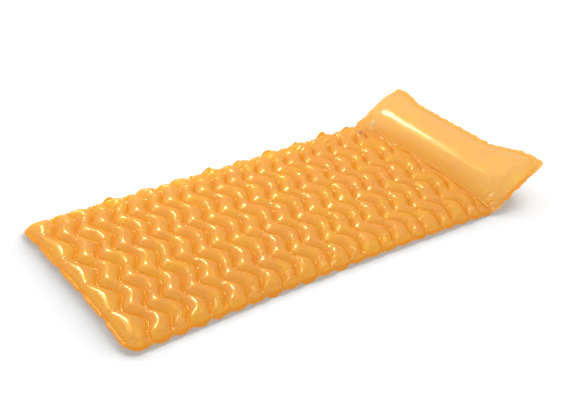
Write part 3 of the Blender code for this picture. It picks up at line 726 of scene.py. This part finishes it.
# The same vinyl as the mattress, but painted paler and less saturated: a painted reflection of
# the white surroundings on the big round pillow
pillow_vinyl_with_painted_light = orange_vinyl(
    "pillow_vinyl_with_painted_light", deep=(0.98, 0.525, 0.260), pale=(1.0, 0.595, 0.235),
    welded_colour=(0.98, 0.485, 0.155), through=(1.0, 0.76, 0.190),
    welded_through=(1.0, 0.70, 0.135), shine=(1.0, 0.98, 0.88), halo=0.07)
for name, node, up in (("pillow_upper_film", "pillow_top_sheet", True),
                       ("pillow_lower_film", "pillow_bottom_sheet", False)):
    film = pillow_film(name, up)
    if up:
        cut_round_hole(film, PILLOW_VALVE, PILLOW_VALVE_WAY)
    film.data.materials.append(pillow_vinyl_with_painted_light)
    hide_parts(node)
    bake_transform(film)


# Valves
# Each chamber has one moulded valve of soft clear vinyl: a flange welded to the film, a
# stem that pushes in, a check flap inside it and a stopper on a strap. The moulding is
# slightly cloudy. Its tints are painted light and shade: the orange light of the film round it
# is painted in, as a shaded brown on the mattress valve and a paler orange on the pillow valve.
def clear_vinyl(name, colour, haze_low, haze_high):
    material = bpy.data.materials.new(name)
    material.use_nodes = True
    nodes, links = material.node_tree.nodes, material.node_tree.links
    skin = nodes["Principled BSDF"]
    place = add_node(nodes, "TexCoord")
    cloud = add_node(nodes, "TexNoise", Scale=180, Detail=3)
    links.new(place.outputs["Object"], cloud.inputs["Vector"])
    deeper = [c * 0.9 for c in colour]
    links.new(two_tone(nodes, links, cloud, 0.3, deeper, 0.7, colour), skin.inputs["Base Color"])
    haze = add_node(nodes, "MapRange", To_Min=haze_low, To_Max=haze_high)
    links.new(cloud.outputs["Fac"], haze.inputs["Value"])
    links.new(haze.outputs["Result"], skin.inputs["Roughness"])
    skin.inputs["Transmission Weight"].default_value = 0.40
    skin.inputs["IOR"].default_value = 1.45
    skin.inputs["Specular Tint"].default_value = (1.0, 0.93, 0.78, 1)
    return material


# painted shade and light: a shaded brown for the mattress valve, a paler orange for the pillow
# valve
valve_painted_tones = {"mattress": (0.84, 0.40, 0.13), "pillow": (0.96, 0.74, 0.42)}
valve_haze = {"base": (0.22, 0.34), "stem": (0.22, 0.34), "stopper": (0.20, 0.32),
              "strap": (0.24, 0.36), "flap": (0.24, 0.36)}
for chamber, tone in valve_painted_tones.items():
    for part, haze in valve_haze.items():
        look = clear_vinyl(f"{chamber}_valve_{part}", tone, *haze)
        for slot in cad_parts[f"{chamber}_valve_{part}"].material_slots:
            slot.material = look


# Floor
# A plain white floor, just under the mat. It shows as white paper, with a soft grey painted
# shadow round the mat: ambient occlusion, leaned towards the head, dims the floor's glow near the
# mat, and only a thin diffuse part takes real shadow from the lamps.
FLOOR_SIZE, FLOOR_Z = 30.0, -0.0010
# Painted shadow: ambient occlusion within this reach, round a normal leaned this way, sets the
# floor's glow through this range
SHADOW_REACH, SHADOW_WAY = 0.32, (0.66, 0.04, 0.75)
SHADOW_RANGE = {"From_Min": 0.55, "From_Max": 1.0, "To_Min": 0.28, "To_Max": 0.80}


def seen_or_mirrored(nodes, links):
    """1 for a ray that the camera sends out, straight or off gloss or through glass, else 0."""
    path = add_node(nodes, "LightPath")
    seen = path.outputs["Is Camera Ray"]
    for kind in ("Is Glossy Ray", "Is Transmission Ray"):
        either = nodes.new("ShaderNodeMath")
        either.operation = "MAXIMUM"
        links.new(seen, either.inputs[0])
        links.new(path.outputs[kind], either.inputs[1])
        seen = either.outputs["Value"]
    return seen


def white_paper_painted_shadow():
    paper = bpy.data.materials.new("white_paper_painted_shadow")
    paper.use_nodes = True
    nodes, links = paper.node_tree.nodes, paper.node_tree.links
    nodes.clear()
    nearby = add_node(nodes, "AmbientOcclusion", Distance=SHADOW_REACH)
    nearby.samples = 16
    shadow_lean = nodes.new("ShaderNodeCombineXYZ")
    for axis, value in zip("XYZ", SHADOW_WAY):
        shadow_lean.inputs[axis].default_value = value
    links.new(shadow_lean.outputs["Vector"], nearby.inputs["Normal"])
    shade = add_node(nodes, "MapRange", **SHADOW_RANGE)
    shade.interpolation_type = "SMOOTHSTEP"
    links.new(nearby.outputs["AO"], shade.inputs["Value"])
    # painted shadow: the floor glows less where the occlusion finds the mat near
    bare = add_node(nodes, "Emission")
    links.new(shade.outputs["Result"], bare.inputs["Strength"])
    thin = add_node(nodes, "BsdfDiffuse", Color=(0.22, 0.22, 0.22, 1))
    shown = add_node(nodes, "AddShader")
    links.new(bare.outputs["Emission"], shown.inputs[0])
    links.new(thin.outputs["BSDF"], shown.inputs[1])
    matt = add_node(nodes, "BsdfDiffuse", Color=(0.85, 0.85, 0.85, 1))
    both = mixed(nodes, links, 0.5, matt, shown)
    links.new(seen_or_mirrored(nodes, links), both.inputs["Fac"])
    out = add_node(nodes, "OutputMaterial")
    links.new(both.outputs["Shader"], out.inputs["Surface"])
    return paper


edge = FLOOR_SIZE / 2
floor = mesh_object("floor", [(-edge, -edge, FLOOR_Z), (edge, -edge, FLOOR_Z),
                              (edge, edge, FLOOR_Z), (-edge, edge, FLOOR_Z)], [(0, 1, 2, 3)])
floor.data.materials.append(white_paper_painted_shadow())


# Studio light
# An even white surround, one broad soft light from above, and two smaller lamps high behind
# the far side, which draw the bright drops on the tubes and the streak on the pillow.
world = bpy.data.worlds.new("studio")
bpy.context.scene.world = world
world.use_nodes = True
nodes, links = world.node_tree.nodes, world.node_tree.links
nodes.clear()
white = add_node(nodes, "Background", Color=(1, 1, 1, 1))
level = add_node(nodes, "MapRange", To_Min=0.93, To_Max=1.0)
links.new(seen_or_mirrored(nodes, links), level.inputs["Value"])
links.new(level.outputs["Result"], white.inputs["Strength"])
world_out = nodes.new("ShaderNodeOutputWorld")
links.new(white.outputs["Background"], world_out.inputs["Surface"])


def area_lamp(name, place, aim, width, height, watts):
    lamp = bpy.data.lights.new(name, "AREA")
    lamp.shape = "RECTANGLE"
    lamp.size, lamp.size_y = width, height
    lamp.energy = watts
    holder = bpy.data.objects.new(name, lamp)
    bpy.context.scene.collection.objects.link(holder)
    holder.location = place
    holder.rotation_euler = (Vector(aim) - Vector(place)).to_track_quat("-Z", "Y").to_euler()


area_lamp("overhead_softbox", (0.5, 0.4, 3.2), (0, 0, 0), 2.6, 2.6, 15)
area_lamp("far_side_lamp", (-0.46, 2.18, 2.00), (0.05, 0.0, 0.05), 0.85, 0.50, 45)
area_lamp("foot_side_strip", (-1.31, 1.94, 1.90), (0.05, 0.0, 0.05), 0.60, 0.40, 5)


# Camera
# It looks down at the mat from the near side of the foot end, over its whole length, with
# a long lens and a slight roll, as the photograph does.
AIM_FROM_FOOT = (0.9088, 0.0603, 0.0)
LOOK, DOWN, ROLL = math.radians(52.25), math.radians(31.31), math.radians(3.28)
DISTANCE = 3.884
FOCAL, PICTURE_WIDTH, SENSOR_WIDTH = 1006.5, 568, 36     # px, px and mm
lens = bpy.data.cameras.new("camera")
lens.sensor_width = SENSOR_WIDTH
lens.lens = FOCAL / PICTURE_WIDTH * SENSOR_WIDTH
lens.clip_start, lens.clip_end = 0.05, 100
camera = bpy.data.objects.new("camera", lens)
bpy.context.scene.collection.objects.link(camera)
bpy.context.scene.camera = camera
forward = np.array((math.cos(LOOK) * math.cos(DOWN), math.sin(LOOK) * math.cos(DOWN),
                    -math.sin(DOWN)))
right = np.array((math.sin(LOOK), -math.cos(LOOK), 0.0))
upward = np.cross(right, forward)
tilted_right = math.cos(ROLL) * right + math.sin(ROLL) * upward
tilted_up = -math.sin(ROLL) * right + math.cos(ROLL) * upward
place = np.array(AIM_FROM_FOOT) + (FOOT_X, 0, 0) - DISTANCE * forward
axes = np.stack([tilted_right, tilted_up, -forward, place], 1)
camera.matrix_world = Matrix([*axes.tolist(), (0, 0, 0, 1)])

bpy.context.scene.view_settings.view_transform = "Standard"
